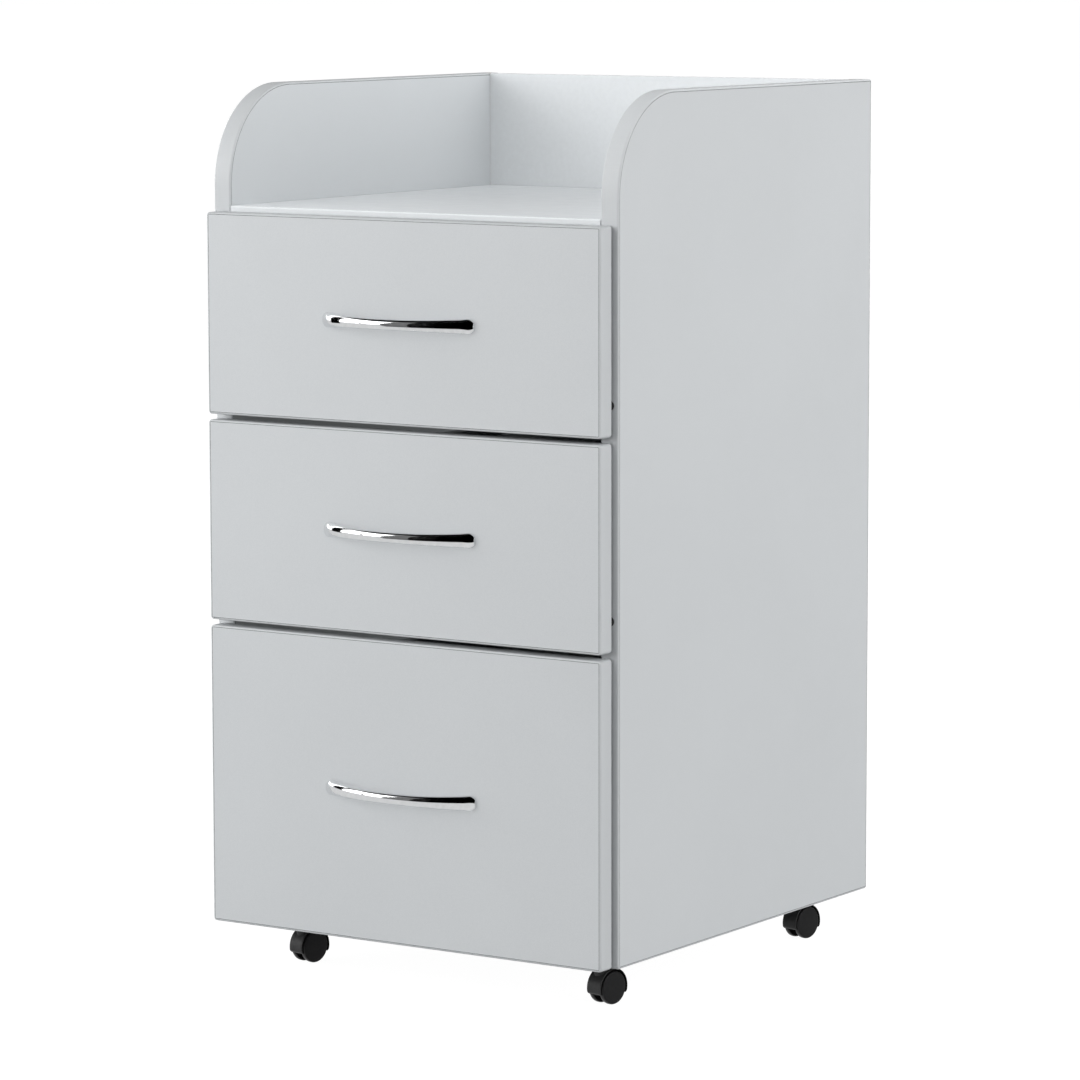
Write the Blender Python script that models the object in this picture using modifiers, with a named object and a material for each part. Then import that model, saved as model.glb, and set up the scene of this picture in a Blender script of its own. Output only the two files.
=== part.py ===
"""Rolling drawer cabinet: an open tray over three drawers, on four swivel twin-wheel casters.

Metres, +Z up, floor at Z = 0. The drawers open towards -Y. Every separate piece is one object.
"""

import math

import bmesh
import bpy

MM = 0.001

# ---- overall ----
WIDTH = 380 * MM
HEIGHT = 710 * MM
DEPTH = 400 * MM  # from the drawer front faces to the rear edges of the side panels
PULL = 22 * MM  # how far the handles stand out of the drawer fronts
BASE_Z = 41.5 * MM  # underside of the cabinet body, carried by the casters
BOARD = 16 * MM  # body panels
FRONT = 16 * MM  # drawer front board
SHADOW = 1 * MM  # gap between a closed drawer front and the body
FIT = 0.3 * MM  # gap between pieces that touch
EDGE = 1.7 * MM  # rounding of the edge bands

REAR_Y = (DEPTH + PULL) / 2
FACE_Y = REAR_Y - DEPTH
BODY_Y = FACE_Y + FRONT + SHADOW

# ---- tray and body ----
TRAY_DEPTH = 95 * MM
SHELF_TOP = HEIGHT - TRAY_DEPTH
CORNER = 80 * MM  # radius of the side panels' front top corners
BACK = 3 * MM
BACK_INSET = 12 * MM  # rear edge of the side panels to the back panel
GROOVE = 5 * MM
IN_X = WIDTH / 2 - BOARD  # inner face of the side panels

# ---- drawers, top to bottom: bottom of the front, its height, rail height over it, box height ----
FRONT_W = 370 * MM
DRAWERS = (
    (450.5 * MM, 160 * MM, 14 * MM, 110 * MM),
    (286 * MM, 160 * MM, 14 * MM, 110 * MM),
    (41.5 * MM, 240 * MM, 20 * MM, 180 * MM),
)
BOX_X = 161.5 * MM  # outer face of the drawer sides
BOX_LONG = 350 * MM
BOX_BOARD = 12 * MM
BOX_BASE = 3 * MM
BASE_UP = 8 * MM  # underside of the drawer sides to the base panel

# ---- roller slides ----
STEEL = 1.2 * MM
RAIL_H = 25 * MM
ROLLER_R = 7.6 * MM
FRONT_ROLLER_R = 8.6 * MM

# ---- handles ----
HANDLE_L = 142 * MM
HANDLE_MID_H = 8.4 * MM
HANDLE_END_H = 12.6 * MM
HANDLE_FOOT = 2.5 * MM
HANDLE_SECTIONS = 20
HANDLE_RING = 16

# ---- casters: swivel axis, trail and turn in the stored pose ----
CASTERS = {
    "fl": (-143.5 * MM, -123 * MM),
    "fr": (143.5 * MM, -123 * MM),
    "rl": (-143.5 * MM, 176 * MM),
    "rr": (143.5 * MM, 176 * MM),
}
TURN = math.radians(-11.5)
TRAIL = 6 * MM
WHEEL_R = 13.2 * MM
WHEEL_OUT = 7.9 * MM  # outer face of a wheel from the caster's middle
WHEEL_IN = 3.8 * MM
HOOD_R = 15.5 * MM
HOOD_WALL = 1.8 * MM
HOOD_ARC = (-21, 197)  # degrees, from the trailing end over the top to the leading end
HOOD_HALF = 7.4 * MM
WEB_HALF = 3 * MM
AXLE_R = 1.5 * MM
PLATE = 36 * MM
PLATE_T = 2.5 * MM


def srgb(r, g, b):
    return tuple((c / 255 / 12.92) if c <= 10 else ((c / 255 + 0.055) / 1.055) ** 2.4 for c in (r, g, b))


def material(name, colour, roughness, metallic=0.0):
    made = bpy.data.materials.new(name)
    made.use_nodes = True
    shader = made.node_tree.nodes["Principled BSDF"]
    shader.inputs["Base Color"].default_value = (*colour, 1)
    shader.inputs["Roughness"].default_value = roughness
    shader.inputs["Metallic"].default_value = metallic
    made.diffuse_color = (*colour, 1)
    return made


def collection(name):
    made = bpy.data.collections.new(name)
    bpy.context.scene.collection.children.link(made)
    return made


def new_object(name, mesh, look=None, parent=None, group=None):
    obj = bpy.data.objects.new(name, mesh)
    (group or PARTS).objects.link(obj)
    if look:
        mesh.materials.append(look)
    obj.parent = parent
    return obj


def pivot(name, location, turn=0.0, parent=None):
    """An empty on a joint's axis, for the pieces that move about it."""
    empty = bpy.data.objects.new(name, None)
    PARTS.objects.link(empty)
    empty.empty_display_size = 0.02
    empty.location = location
    empty.rotation_euler = (0, 0, turn)
    empty.parent = parent
    return empty


def bevel(obj, width, segments=2):
    made = obj.modifiers.new("edge_rounding", "BEVEL")
    made.width = width
    made.segments = segments
    made.limit_method = "ANGLE"
    made.angle_limit = math.radians(40)


def boolean(obj, other, operation="DIFFERENCE"):
    made = obj.modifiers.new(operation.lower() + "_" + other.name, "BOOLEAN")
    made.operation = operation
    made.solver = "EXACT"
    made.object = other


def as_cutter(obj):
    obj.hide_render = True
    obj.display_type = "WIRE"
    return obj


def box(name, low, high, look=None, parent=None, group=None):
    mesh = bpy.data.meshes.new(name)
    bm = bmesh.new()
    bmesh.ops.create_cube(bm, size=1)
    bmesh.ops.scale(bm, vec=[h - l for l, h in zip(low, high)], verts=bm.verts)
    bmesh.ops.translate(bm, vec=[(h + l) / 2 for l, h in zip(low, high)], verts=bm.verts)
    bm.to_mesh(mesh)
    bm.free()
    return new_object(name, mesh, look, parent, group)


def prism(name, outline, axis, low, high, look=None, parent=None, group=None):
    """A flat outline pushed along an axis. Its points are in the other two axes, in X, Y, Z order."""
    def point(pair, at):
        out = list(pair)
        out.insert("XYZ".index(axis), at)
        return out

    bm = bmesh.new()
    ends = [[bm.verts.new(point(p, at)) for p in outline] for at in (low, high)]
    bm.faces.new(ends[0])
    bm.faces.new(ends[1][::-1])
    for i in range(len(outline)):
        j = (i + 1) % len(outline)
        bm.faces.new((ends[0][j], ends[0][i], ends[1][i], ends[1][j]))
    bmesh.ops.recalc_face_normals(bm, faces=bm.faces)
    mesh = bpy.data.meshes.new(name)
    bm.to_mesh(mesh)
    bm.free()
    return new_object(name, mesh, look, parent, group)


def rod(name, radius, axis, centre, low, high, look=None, parent=None, group=None, sides=20):
    """A round bar along an axis. The centre is in the other two axes."""
    ring = [
        (centre[0] + radius * math.cos(a), centre[1] + radius * math.sin(a))
        for a in (2 * math.pi * (i + 0.5) / sides for i in range(sides))
    ]
    return prism(name, ring, axis, low, high, look, parent, group)


def arc(centre, radius, start, end, steps):
    return [
        (
            centre[0] + radius * math.cos(math.radians(start + (end - start) * i / steps)),
            centre[1] + radius * math.sin(math.radians(start + (end - start) * i / steps)),
        )
        for i in range(steps + 1)
    ]


def turned(name, profile, look, parent, steps=24):
    """A profile of (radius, height) swept round the object's Z, listed down its outer side."""
    mesh = bpy.data.meshes.new(name)
    mesh.from_pydata(
        [(r, 0, z) for r, z in profile], [(i, i + 1) for i in range(len(profile) - 1)], []
    )
    obj = new_object(name, mesh, look, parent)
    screw = obj.modifiers.new("turn", "SCREW")
    screw.steps = screw.render_steps = steps
    screw.use_merge_vertices = True
    screw.merge_threshold = 0.00001
    screw.use_smooth_shade = True
    return obj


def side_panel(name, sign):
    """A side board with its rounded front top corner, and a groove for the back panel."""
    outline = [(REAR_Y, HEIGHT), (REAR_Y, BASE_Z), (BODY_Y, BASE_Z)]
    outline += arc((BODY_Y + CORNER, HEIGHT - CORNER), CORNER, 180, 90, 18)
    low, high = sorted((sign * IN_X, sign * WIDTH / 2))
    panel = prism(name, outline, "X", low, high, LAMINATE)
    bevel(panel, EDGE)
    low, high = sorted((sign * (IN_X - 5 * MM), sign * (IN_X + GROOVE)))
    rear = REAR_Y - BACK_INSET + FIT
    groove = box(
        name + "_groove", (low, rear - BACK - 2 * FIT, BASE_Z - 0.01), (high, rear, HEIGHT + 0.01),
        group=CUTTERS,
    )
    boolean(panel, as_cutter(groove))
    return panel


def body():
    side_panel("side_left", -1)
    side_panel("side_right", 1)
    back_front = REAR_Y - BACK_INSET - BACK
    shelf = box(
        "top_shelf", (-IN_X + FIT, BODY_Y, SHELF_TOP - BOARD), (IN_X - FIT, back_front - FIT, SHELF_TOP),
        LAMINATE,
    )
    bevel(shelf, EDGE)
    floor = box(
        "bottom_panel", (-IN_X + FIT, BODY_Y, BASE_Z), (IN_X - FIT, back_front - FIT, BASE_Z + BOARD),
        LAMINATE,
    )
    bevel(floor, EDGE)
    reach = IN_X + GROOVE - FIT
    box("back_panel", (-reach, back_front, BASE_Z), (reach, back_front + BACK, HEIGHT - 0.2 * MM), FOIL)


def handle_section(along):
    """The outer face, inner face and height of the bow at a place from -1 to 1 along it."""
    far = abs(along)
    outer = HANDLE_FOOT + (PULL - HANDLE_FOOT) * (1 - far**2.4)
    inner = max(FIT, outer - (5.6 * MM + 2 * MM * far**3))
    height = HANDLE_MID_H + (HANDLE_END_H - HANDLE_MID_H) * far**2.2
    if far > 0.96:
        height -= 5 * MM * ((far - 0.96) / 0.04) ** 2
    return outer, inner, height


def handle(name, parent, centre_z):
    """A bow handle: it stands out most at its middle, where it is also lowest, and rests on two feet."""
    bm = bmesh.new()
    rings = []
    for i in range(HANDLE_SECTIONS + 1):
        along = math.sin(math.pi * (i / HANDLE_SECTIONS - 0.5))
        outer, inner, height = handle_section(along)
        middle = inner + 0.45 * (outer - inner)
        flat = 0.5 - 0.42 * min(1, (along / 0.85) ** 4)
        ring = []
        for j in range(HANDLE_RING):
            angle = 2 * math.pi * j / HANDLE_RING
            c, s = math.cos(angle), math.sin(angle)
            z = math.copysign(abs(c) ** 0.62, c) * height / 2
            if s >= 0:
                y = middle + (outer - middle) * s**0.75
            else:
                y = middle - (middle - inner) * (-s) ** flat
            ring.append(bm.verts.new((along * HANDLE_L / 2, -y, centre_z + z)))
        rings.append(ring)
    for first, second in zip(rings, rings[1:]):
        for j in range(HANDLE_RING):
            k = (j + 1) % HANDLE_RING
            bm.faces.new((first[j], first[k], second[k], second[j]))
    bm.faces.new(rings[0][::-1])
    bm.faces.new(rings[-1])
    bmesh.ops.recalc_face_normals(bm, faces=bm.faces)
    for face in bm.faces:
        face.smooth = len(face.verts) == 4
    mesh = bpy.data.meshes.new(name)
    bm.to_mesh(mesh)
    bm.free()
    return new_object(name, mesh, CHROME, parent)


def drawer(number, bottom, front_h, rail_up, box_h):
    """A drawer front with its handle and the box behind it, all carried by one sliding frame."""
    name = f"drawer_{number}_"
    slide = pivot(name + "slide", (0, FACE_Y, bottom))
    front = box(
        name + "front", (-FRONT_W / 2, 0, 0), (FRONT_W / 2, FRONT, front_h), LAMINATE, slide
    )
    bevel(front, EDGE)
    handle(name + "handle", slide, front_h / 2)

    start = FRONT + FIT
    end = start + BOX_LONG
    low = rail_up + STEEL + FIT
    base = low + BASE_UP
    inner = BOX_X - BOX_BOARD
    for side, sign in (("left", -1), ("right", 1)):
        xs = sorted((sign * inner, sign * BOX_X))
        wall = box(
            name + "side_" + side, (xs[0], start, low), (xs[1], end, low + box_h), FOIL_WHITE, slide
        )
        bevel(wall, 0.5 * MM, 1)
        xs = sorted((sign * (inner - 5 * MM), sign * (inner + 4.3 * MM)))
        slot = box(
            name + "slot_" + side, (xs[0], start - 0.01, base - FIT),
            (xs[1], end + 0.01, base + BOX_BASE + FIT), parent=slide, group=CUTTERS,
        )
        boolean(wall, as_cutter(slot))
    box(
        name + "base", (-inner - 4 * MM, start, base), (inner + 4 * MM, end, base + BOX_BASE),
        FOIL, slide,
    )
    rear = box(
        name + "back", (-inner + FIT, end - BOX_BOARD, base + BOX_BASE + FIT),
        (inner - FIT, end, low + box_h - 8 * MM), FOIL_WHITE, slide,
    )
    bevel(rear, 0.5 * MM, 1)
    for side, sign in (("left", -1), ("right", 1)):
        drawer_rail(f"drawer_rail_{number}_{side}", sign, rail_up, start, end, slide)
        cabinet_rail(f"cabinet_rail_{number}_{side}", sign, bottom + rail_up)


def mirrored(points, sign):
    return [(sign * x, z) for x, z in points]


def drawer_rail(name, sign, low, start, end, parent):
    """The drawer's half of a roller slide: it cups the drawer side, and its top rides on a roller."""
    web = BOX_X + FIT
    top = low + RAIL_H
    outline = [
        (BOX_X - 11 * MM, low), (web + STEEL, low), (web + STEEL, top - STEEL),
        (web + 9 * MM, top - STEEL), (web + 9 * MM, top), (web, top),
        (web, low + STEEL), (BOX_X - 11 * MM, low + STEEL),
    ]
    rail = prism(name, mirrored(outline, sign), "Y", start, end, COATED, parent)
    centre = (end - 11 * MM, low + RAIL_H - 19 * MM + FIT + ROLLER_R)
    ends = sorted((sign * (web + 0.5 * STEEL), sign * (web + 9 * MM)))
    roller = rod(name + "_roller", ROLLER_R, "X", centre, *ends, parent=parent, group=CUTTERS)
    boolean(rail, as_cutter(roller), "UNION")
    return rail


def cabinet_rail(name, sign, low):
    """The body's half: a channel on the side panel, with a roller at its open front end."""
    web = IN_X - FIT
    top = low + RAIL_H - 2 * MM
    floor = low + RAIL_H - 20.2 * MM
    outline = [
        (web, floor), (web, top), (web - 9 * MM, top), (web - 9 * MM, top - STEEL),
        (web - STEEL, top - STEEL), (web - STEEL, floor + STEEL),
        (web - 9 * MM, floor + STEEL), (web - 9 * MM, floor),
    ]
    start = BODY_Y + 1 * MM
    rail = prism(name, mirrored(outline, sign), "Y", start, start + BOX_LONG, COATED)
    xs = sorted((sign * (web - STEEL - 0.05 * MM), sign * (web - 20 * MM)))
    gap = box(
        name + "_gap", (xs[0], start - 0.01, top - 3 * MM), (xs[1], start + 24 * MM, top + 0.01),
        group=CUTTERS,
    )
    boolean(rail, as_cutter(gap))
    centre = (start + 11 * MM, low + RAIL_H - STEEL - FIT - FRONT_ROLLER_R)
    ends = sorted((sign * (web - 0.5 * STEEL), sign * (web - 9 * MM)))
    roller = rod(name + "_roller", FRONT_ROLLER_R, "X", centre, *ends, group=CUTTERS)
    boolean(rail, as_cutter(roller), "UNION")
    return rail


def caster(place, x, y):
    """A twin-wheel caster: a plate under the body, a hood that swivels on its pin, and two wheels."""
    name = f"caster_{place}_"
    swivel = pivot(name + "swivel", (x, y, 0), TURN)
    half = PLATE / 2
    top = BASE_Z - FIT
    corner = 4 * MM
    outline = []
    for cx, cy, start in ((1, 1, 0), (-1, 1, 90), (-1, -1, 180), (1, -1, 270)):
        outline += arc((x + cx * (half - corner), y + cy * (half - corner)), corner, start, start + 90, 3)
    plate = prism(name + "plate", outline, "Z", top - PLATE_T, top, PLASTIC)
    race_low = top - PLATE_T - 3 * MM
    race = rod(name + "race", 9 * MM, "Z", (x, y), race_low, top - 1 * MM, group=CUTTERS)
    pin = rod(name + "pin", 3 * MM, "Z", (x, y), race_low - 7 * MM, top - 1 * MM, group=CUTTERS, sides=16)
    boolean(plate, as_cutter(race), "UNION")
    boolean(plate, as_cutter(pin), "UNION")

    centre = (TRAIL, WHEEL_R)
    shell = arc(centre, HOOD_R, *HOOD_ARC, 20) + arc(centre, HOOD_R - HOOD_WALL, *HOOD_ARC[::-1], 20)
    hood = prism(name + "hood", shell, "X", -HOOD_HALF, HOOD_HALF, PLASTIC, swivel)
    web_line = arc(centre, HOOD_R - HOOD_WALL / 2, HOOD_ARC[0] - 3, HOOD_ARC[1] + 6, 18)
    web = prism(name + "web", web_line, "X", -WEB_HALF, WEB_HALF, parent=swivel, group=CUTTERS)
    boss_top = race_low - FIT
    boss = rod(
        name + "boss", 6 * MM, "Z", (0, 0), 22 * MM, boss_top, parent=swivel, group=CUTTERS
    )
    room = [
        rod(name + f"room_{side}", HOOD_R - HOOD_WALL, "X", centre, *ends, parent=swivel, group=CUTTERS, sides=36)
        for side, ends in (
            ("left", (-HOOD_HALF - 5 * MM, -WEB_HALF)), ("right", (WEB_HALF, HOOD_HALF + 5 * MM))
        )
    ]
    socket = rod(
        name + "socket", 3.3 * MM, "Z", (0, 0), race_low - 8 * MM, boss_top + 0.01, parent=swivel,
        group=CUTTERS, sides=16,
    )
    bore = rod(
        name + "bore", AXLE_R + 0.2 * MM, "X", (TRAIL, WHEEL_R), -0.02, 0.02, parent=swivel,
        group=CUTTERS, sides=16,
    )
    boolean(hood, as_cutter(boss), "UNION")
    for cutter in room:
        boolean(hood, as_cutter(cutter))
    boolean(hood, as_cutter(web), "UNION")
    boolean(hood, as_cutter(socket))
    boolean(hood, as_cutter(bore))

    spin = pivot(name + "spin", (0, TRAIL, WHEEL_R), parent=swivel)
    axle_end = WHEEL_OUT - 1.6 * MM
    rod(name + "axle", AXLE_R, "X", (0, 0), -axle_end, axle_end, STEEL_PIN, spin, sides=16)
    hole = AXLE_R + 0.2 * MM
    profile = (
        (0, WHEEL_OUT + 0.2 * MM), (9 * MM, WHEEL_OUT), (12.5 * MM, WHEEL_OUT - 0.2 * MM),
        (WHEEL_R, WHEEL_OUT - 1 * MM), (WHEEL_R, WHEEL_IN + 0.6 * MM),
        (WHEEL_R - 0.5 * MM, WHEEL_IN), (hole, WHEEL_IN),
        (hole, axle_end + FIT), (0, axle_end + FIT),
    )
    for side, sign in (("left", -1), ("right", 1)):
        wheel = turned(name + "wheel_" + side, profile, TREAD, spin)
        wheel.rotation_euler = (0, sign * math.pi / 2, 0)


for old in list(bpy.data.objects):
    bpy.data.objects.remove(old, do_unlink=True)

PARTS = collection("rolling_drawer_cabinet")
CUTTERS = collection("cutters")
CUTTERS.hide_render = True

LAMINATE = material("light_grey_laminate", srgb(200, 203, 205), 0.42)
FOIL = material("light_grey_foil", srgb(192, 195, 197), 0.55)
FOIL_WHITE = material("drawer_box_foil", srgb(206, 208, 210), 0.5)
CHROME = material("bright_chrome", (0.86, 0.86, 0.86), 0.06, 1.0)
COATED = material("coated_steel", srgb(214, 214, 212), 0.38)
PLASTIC = material("black_plastic", srgb(30, 30, 31), 0.4)
TREAD = material("dark_wheel_plastic", srgb(36, 36, 37), 0.5)
STEEL_PIN = material("bare_steel", (0.5, 0.5, 0.51), 0.3, 1.0)

body()
for index, sizes in enumerate(DRAWERS):
    drawer(index + 1, *sizes)
for corner_name, (at_x, at_y) in CASTERS.items():
    caster(corner_name, at_x, at_y)
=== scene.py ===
"""Looks of a rolling drawer cabinet: banded boards, chrome handles, roller slides and twin-wheel casters.

Metres, +Z up, drawers open towards -Y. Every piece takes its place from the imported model.
"""

import math

import bmesh
import bpy
from mathutils import Matrix, Vector

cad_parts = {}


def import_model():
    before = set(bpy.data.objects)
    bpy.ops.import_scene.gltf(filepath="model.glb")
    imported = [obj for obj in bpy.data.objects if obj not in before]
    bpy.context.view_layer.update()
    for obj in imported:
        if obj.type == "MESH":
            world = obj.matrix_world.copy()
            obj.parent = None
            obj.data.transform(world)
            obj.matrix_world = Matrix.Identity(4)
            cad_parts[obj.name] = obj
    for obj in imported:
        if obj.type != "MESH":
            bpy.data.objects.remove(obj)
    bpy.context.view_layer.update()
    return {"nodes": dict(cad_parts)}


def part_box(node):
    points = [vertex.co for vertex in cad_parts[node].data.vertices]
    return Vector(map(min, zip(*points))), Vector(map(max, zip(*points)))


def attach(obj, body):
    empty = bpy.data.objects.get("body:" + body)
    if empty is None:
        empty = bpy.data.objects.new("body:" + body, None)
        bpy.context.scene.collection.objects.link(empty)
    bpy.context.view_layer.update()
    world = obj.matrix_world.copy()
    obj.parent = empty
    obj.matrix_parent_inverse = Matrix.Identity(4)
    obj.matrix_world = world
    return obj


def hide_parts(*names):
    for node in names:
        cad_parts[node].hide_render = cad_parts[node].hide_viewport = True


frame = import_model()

MM = 0.001
TINY = 0.003 * MM  # points nearer than this are one
SIDES = (("left", -1), ("right", 1))

# ---- screw heads: radius and height ----
BACK_SCREW = (3.3 * MM, 1.3 * MM)
HANDLE_SCREW = (4.2 * MM, 2.2 * MM)
DRAWER_RAIL_SCREW = (3.4 * MM, 1.1 * MM)
CABINET_RAIL_SCREW = (3.6 * MM, 1.6 * MM)
PLATE_SCREW = (3.2 * MM, 1.4 * MM)

# ---- boards ----
JOINT = 1.7 * MM  # edge of a board to the glue line of its edge band
GLUE = 0.2 * MM  # half width of the glue line
GLUE_DEEP = 0.12 * MM  # how far the glue line lies under the face
ROUND = JOINT - GLUE  # rounding of the edge bands
ROUND_STEPS = 6
FRONT_CORNER = 2.6 * MM
PANEL_CORNER = 2.1 * MM
TRAY_CORNER = 80 * MM
TRAY_CORNER_STEPS = 28
THIN_EDGE = 0.3 * MM  # broken edges of thin boards
BOX_EDGE = 0.4 * MM  # lower edges of the drawer boxes
BOX_TOP = 1.6 * MM  # rounded top edges of the drawer boxes
BACK_GROOVE = 5 * MM  # depth of the groove for the back in a side panel
BASE_GROOVE = 4.3 * MM  # depth of the groove for the base in a drawer side
BACK_SCREW_SHARES = (-0.36, -0.12, 0.12, 0.36)  # places across the back, in shares of its width
CAM_BACK = 24 * MM  # behind the front's inner face
CAM_SHARES = (0.30, 0.78)  # places up a drawer side
BUMPER_X = 182.3 * MM
BUMPER_UP = 24 * MM  # above the lower edge of a front
FIT = 0.3 * MM  # play between a groove, roller or boss and what it meets

# ---- slides ----
STEEL = 1.2 * MM  # thickness of the rails
RAIL_H = 25 * MM
FLANGE = 9 * MM
ROLLER_R = 7.6 * MM
FRONT_ROLLER_R = 8.6 * MM
ROLLER_BACK = 11 * MM  # end of a rail to the middle of its roller
RIVET_R = 2.6 * MM
# Screws of a rail: from its front end, or where negative from its rear end.
DRAWER_RAIL_SPOTS = (42 * MM, 170 * MM, -60 * MM)
CABINET_RAIL_SPOTS = (37 * MM, 165 * MM, -50 * MM)

# ---- handles ----
HANDLE_L = 142 * MM
HANDLE_MID_H = 8.4 * MM
HANDLE_END_H = 12.6 * MM
HANDLE_FOOT = 2.5 * MM  # how far the ends stand out of the front
PULL = 22 * MM  # how far the middle stands out
HANDLE_MID_DEEP = 5.6 * MM
HANDLE_END_MORE = 2 * MM  # the bow is deeper by this at its ends
HANDLE_TIP = 0.93  # share of the half length where the end starts to round in
HANDLE_TIP_IN = 6.5 * MM
HANDLE_SECTIONS, HANDLE_RING = 72, 48
HANDLE_SPACING = 128 * MM

# ---- casters ----
TURN = math.radians(-11.5)
TRAIL = 6 * MM
WHEEL_R = 13.2 * MM
WHEEL_OUT = 7.9 * MM  # a wheel's outer and inner face, from the caster's middle
WHEEL_IN = 3.8 * MM
HOOD_R = 15.5 * MM
HOOD_WALL = 1.8 * MM
HOOD_ARC = (-21, 197)  # degrees, from the rear over the top to the front
HOOD_END = 9  # degrees over which the outside rounds in
HOOD_STEPS = 84
HOOD_HALF = 7.4 * MM
HOOD_SOFT = 0.7 * MM  # rounding of the hood's outer rims
WEB_ARC = (HOOD_ARC[0] - 3, HOOD_ARC[1] + 6)
WEB_STEPS = 60
WEB_HALF = 3 * MM
BOSS_R = 6 * MM
SOCKET_R = 3.3 * MM
SOCKET_DEEP = 7.7 * MM
AXLE_R = 1.5 * MM
BORE_R = AXLE_R + 0.2 * MM
PLATE_THICK = 2.5 * MM
PLATE_CORNER = 4 * MM
PLATE_EDGE = 0.5 * MM
PLATE_SCREW_AT = 12.6 * MM
RACE_HIGH = 3 * MM
RACE_R = 9 * MM

# ---- camera ----
CAMERA_AT = (2.16297, -3.26825, 0.83319)
CAMERA_YAW, CAMERA_PITCH, CAMERA_ROLL = 0.5835, 0.1247, -0.0019
SENSOR, LENS = 36, 163.03  # mm


def srgb(r, g, b):
    return tuple(c / 255 / 12.92 if c <= 10 else ((c / 255 + 0.055) / 1.055) ** 2.4 for c in (r, g, b))


# ------------------------------------------------------------------ materials
class Look:
    """A node material: its Principled shader and short ways to add textures in the piece's own space."""

    def __init__(self, name, colour, roughness, metallic=0.0, specular=0.5):
        self.material = bpy.data.materials.new(name)
        self.material.use_nodes = True
        self.tree = self.material.node_tree
        self.shader = self.tree.nodes["Principled BSDF"]
        self.set("Base Color", (*colour, 1))
        self.set("Roughness", roughness)
        self.set("Metallic", metallic)
        self.set("Specular IOR Level", specular)
        self.material.diffuse_color = (*colour, 1)
        self.where = self.tree.nodes.new("ShaderNodeTexCoord").outputs["Object"]

    def set(self, socket, value):
        self.shader.inputs[socket].default_value = value

    def link(self, out, into):
        self.tree.links.new(out, into)

    def stretched(self, scale):
        node = self.tree.nodes.new("ShaderNodeMapping")
        node.inputs["Scale"].default_value = scale
        self.link(self.where, node.inputs["Vector"])
        return node.outputs["Vector"]

    def noise(self, scale, detail=2.0, rough=0.5, vector=None):
        node = self.tree.nodes.new("ShaderNodeTexNoise")
        node.inputs["Scale"].default_value = scale
        node.inputs["Detail"].default_value = detail
        node.inputs["Roughness"].default_value = rough
        self.link(vector or self.where, node.inputs["Vector"])
        return node.outputs["Fac"]

    def cells(self, scale):
        node = self.tree.nodes.new("ShaderNodeTexVoronoi")
        node.inputs["Scale"].default_value = scale
        self.link(self.where, node.inputs["Vector"])
        return node.outputs["Distance"]

    def spread(self, value, low, high, start=0.3, end=0.7):
        node = self.tree.nodes.new("ShaderNodeMapRange")
        node.inputs["From Min"].default_value = start
        node.inputs["From Max"].default_value = end
        node.inputs["To Min"].default_value = low
        node.inputs["To Max"].default_value = high
        self.link(value, node.inputs["Value"])
        return node.outputs["Result"]

    def mix(self, factor, first, second, blend="MIX"):
        node = self.tree.nodes.new("ShaderNodeMix")
        node.data_type = "RGBA"
        node.blend_type = blend
        for socket, value in ((node.inputs[0], factor), (node.inputs[6], first), (node.inputs[7], second)):
            if isinstance(value, bpy.types.NodeSocket):
                self.link(value, socket)
            else:
                socket.default_value = value if isinstance(value, float) else (*value, 1)
        return node.outputs[2]

    def between(self, value, first, second, start=0.3, end=0.7):
        """A colour that goes from first to second as a noise value rises."""
        return self.mix(self.spread(value, 0.0, 1.0, start, end), first, second)

    def bump(self, height, strength, distance, over=None):
        node = self.tree.nodes.new("ShaderNodeBump")
        node.inputs["Strength"].default_value = strength
        node.inputs["Distance"].default_value = distance
        self.link(height, node.inputs["Height"])
        if over:
            self.link(over, node.inputs["Normal"])
        self.link(node.outputs["Normal"], self.shader.inputs["Normal"])
        return node.outputs["Normal"]

    def paint(self, colour):
        self.link(colour, self.shader.inputs["Base Color"])

    def rough(self, value):
        self.link(value, self.shader.inputs["Roughness"])


def shade(colour, factor):
    return tuple(min(1, c * factor) for c in colour)


def laminate(name, colour):
    """Melamine paper pressed with a fine pearl texture, its tone drifting very slightly over a board."""
    look = Look(name, colour, 0.45, specular=0.42)
    drift = look.between(look.noise(5.0, 3.0), shade(colour, 0.985), shade(colour, 1.012))
    fleck = look.spread(look.noise(1500.0, 1.0), 0.0, 1.0)
    look.paint(look.mix(fleck, drift, look.mix(1.0, drift, (0.955, 0.96, 0.965), "MULTIPLY")))
    look.rough(look.spread(look.noise(60.0, 3.0), 0.40, 0.50))
    coarse = look.bump(look.noise(420.0, 2.0), 0.16, 0.00008)
    look.bump(look.noise(1700.0, 1.0), 0.22, 0.00004, coarse)
    return look.material


def edge_band(name, colour):
    """Extruded edge band: smoother than the board's face, with faint drawn lines along it."""
    look = Look(name, colour, 0.42, specular=0.36)
    streak = look.noise(900.0, 2.0, 0.6, look.stretched((1.0, 1.0, 0.04)))
    across = look.noise(900.0, 2.0, 0.6, look.stretched((0.04, 1.0, 1.0)))
    both = look.mix(0.5, streak, across)
    look.paint(look.between(both, shade(colour, 0.985), shade(colour, 1.015)))
    look.rough(look.spread(look.noise(140.0, 2.0), 0.38, 0.46))
    look.bump(both, 0.10, 0.00004)
    return look.material


def glue_line():
    look = Look("glue_line", srgb(104, 108, 110), 0.7, specular=0.2)
    look.paint(look.between(look.noise(300.0, 3.0), srgb(92, 96, 98), srgb(122, 126, 128)))
    return look.material


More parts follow.
